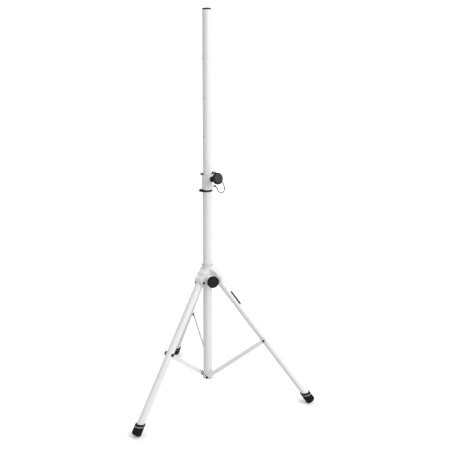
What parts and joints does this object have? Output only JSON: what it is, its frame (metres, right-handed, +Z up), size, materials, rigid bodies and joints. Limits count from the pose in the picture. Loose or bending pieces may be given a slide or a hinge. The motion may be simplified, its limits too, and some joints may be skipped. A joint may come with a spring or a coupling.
{
  "type": "loudspeaker tripod stand",
  "caption": "White telescopic tripod stand for a loudspeaker: 35 mm mast with safety pin and clamp knob, folding tube legs with flat braces and rubber feet.",
  "frame": {"origin": "on the floor under the middle of the footprint box; the column's axis is at x = 0, y = -0.10865 m", "axes": "+Z up along the column, +Y along the rear leg, the other two legs 120 degrees either side, the lower knob faces -Y"},
  "size_m": [0.7948, 0.6934, 1.6166],
  "materials": {
    "white_steel": "white powder coat on steel tube, semi gloss",
    "white_casting": "white powder coat on an aluminium casting, fine texture",
    "white_bar": "white powder coat on flat steel bar",
    "white_moulding": "white glass filled nylon, satin",
    "black_moulding": "black moulded plastic, satin",
    "black_knob": "black moulded plastic with a fine spark texture",
    "black_cap": "black plastic cap, satin",
    "black_nylon": "black nylon, satin",
    "black_bolt": "black oxide steel, satin",
    "grey_cap": "grey plastic push-on nut cap, satin",
    "steel": "dark zinc plated steel, fine turning marks",
    "brass": "turned brass",
    "rubber": "black moulded rubber, matt",
    "grey_band": "light grey plastic band, satin",
    "lanyard_jacket": "black plastic jacket on wire rope",
    "black_stripe": "plain dark printed film, no lettering"
  },
  "bodies": {
    "column": {"outer_tube": "white_steel", "clamp_collar": "white_casting", "clamp_nut": "brass", "clamp_pad": "black_nylon", "collar_bush": "black_nylon", "stop_ring": "black_moulding", "bottom_plug": "black_moulding", "brace_pivot_bolts": "black_bolt", "brace_pivot_spacers": "black_nylon", "lanyard_crimp": "black_moulding", "lanyard_wire": "lanyard_jacket"},
    "mast": {"mast_tube": "white_steel", "top_cap": "black_moulding", "mast_guide_bush": "black_nylon"},
    "safety_pin": {"safety_pin": "steel", "pin_eye": "steel"},
    "clamp_knob": {"clamp_knob_head": "black_knob", "clamp_knob_cap": "black_cap", "clamp_screw": "steel"},
    "hub": {"tripod_hub": "white_casting", "hub_bushes": "black_nylon", "hub_nut": "brass", "hub_pad": "black_nylon", "leg_pivot_bolts": "black_bolt", "leg_pivot_caps": "grey_cap"},
    "hub_knob": {"hub_knob_head": "black_knob", "hub_knob_cap": "black_cap", "hub_screw": "steel"},
    "leg_a": {"leg_a_tube": "white_steel", "leg_a_knuckle": "white_moulding", "leg_a_foot": "rubber", "leg_a_foot_band": "grey_band", "leg_a_brace_bolt": "black_bolt", "leg_a_brace_spacer": "black_nylon"},
    "brace_a": {"brace_a_bar": "white_bar", "brace_a_bolt_head": "black_bolt"},
    "leg_b": {"leg_b_tube": "white_steel", "leg_b_knuckle": "white_moulding", "leg_b_foot": "rubber", "leg_b_foot_band": "grey_band", "leg_b_brace_bolt": "black_bolt", "leg_b_brace_spacer": "black_nylon", "leg_b_stripe": "black_stripe"},
    "brace_b": {"brace_b_bar": "white_bar", "brace_b_bolt_head": "black_bolt"},
    "leg_c": {"leg_c_tube": "white_steel", "leg_c_knuckle": "white_moulding", "leg_c_foot": "rubber", "leg_c_foot_band": "grey_band", "leg_c_brace_bolt": "black_bolt", "leg_c_brace_spacer": "black_nylon"},
    "brace_c": {"brace_c_bar": "white_bar", "brace_c_bolt_head": "black_bolt"}
  },
  "joints": [
    {"name": "hub_slide", "type": "slide", "parent": "column", "child": "hub", "axis": [0, 0, 1], "range_m": [0, 0.17292]},
    {"name": "mast_slide", "type": "slide", "parent": "column", "child": "mast", "axis": [0, 0, 1], "range_m": [0, 0.15]},
    {"name": "safety_pin_pull", "type": "slide", "parent": "mast", "child": "safety_pin", "axis": [1, 0, 0], "range_m": [0, 0.06]},
    {"name": "clamp_knob_turn", "type": "hinge", "parent": "column", "child": "clamp_knob", "pos_m": [0.0218, -0.16856, 0.96829], "axis": [0.3304, -0.9077, 0.2588], "continuous": true},
    {"name": "hub_knob_turn", "type": "hinge", "parent": "hub", "child": "hub_knob", "pos_m": [0, -0.17465, 0.54], "axis": [0, -1, 0], "continuous": true},
    {"name": "leg_a_fold", "type": "hinge", "parent": "hub", "child": "leg_a", "pos_m": [-0.04131, -0.1325, 0.5308], "axis": [0.5, -0.866, 0], "range_deg": [0, 34.09]},
    {"name": "brace_a_fold", "type": "hinge", "parent": "column", "child": "brace_a", "pos_m": [0, -0.10865, 0.095], "axis": [-0.5, 0.866, 0], "range_deg": [0, 39.9]},
    {"name": "leg_b_fold", "type": "hinge", "parent": "hub", "child": "leg_b", "pos_m": [0.04131, -0.1325, 0.5308], "axis": [0.5, 0.866, 0], "range_deg": [0, 34.09]},
    {"name": "brace_b_fold", "type": "hinge", "parent": "column", "child": "brace_b", "pos_m": [0, -0.10865, 0.095], "axis": [-0.5, -0.866, 0], "range_deg": [0, 39.9]},
    {"name": "leg_c_fold", "type": "hinge", "parent": "hub", "child": "leg_c", "pos_m": [0, -0.06095, 0.5308], "axis": [-1, 0, 0], "range_deg": [0, 34.09]},
    {"name": "brace_c_fold", "type": "hinge", "parent": "column", "child": "brace_c", "pos_m": [0, -0.10865, 0.095], "axis": [1, 0, 0], "range_deg": [0, 39.9]}
  ],
  "couplings": [
    {"joint": "leg_a_fold", "follows": "hub_slide", "rad_per_m": 3.4406},
    {"joint": "brace_a_fold", "follows": "hub_slide", "rad_per_m": 4.0264},
    {"joint": "leg_b_fold", "follows": "hub_slide", "rad_per_m": 3.4406},
    {"joint": "brace_b_fold", "follows": "hub_slide", "rad_per_m": 4.0264},
    {"joint": "leg_c_fold", "follows": "hub_slide", "rad_per_m": 3.4406},
    {"joint": "brace_c_fold", "follows": "hub_slide", "rad_per_m": 4.0264}
  ]
}
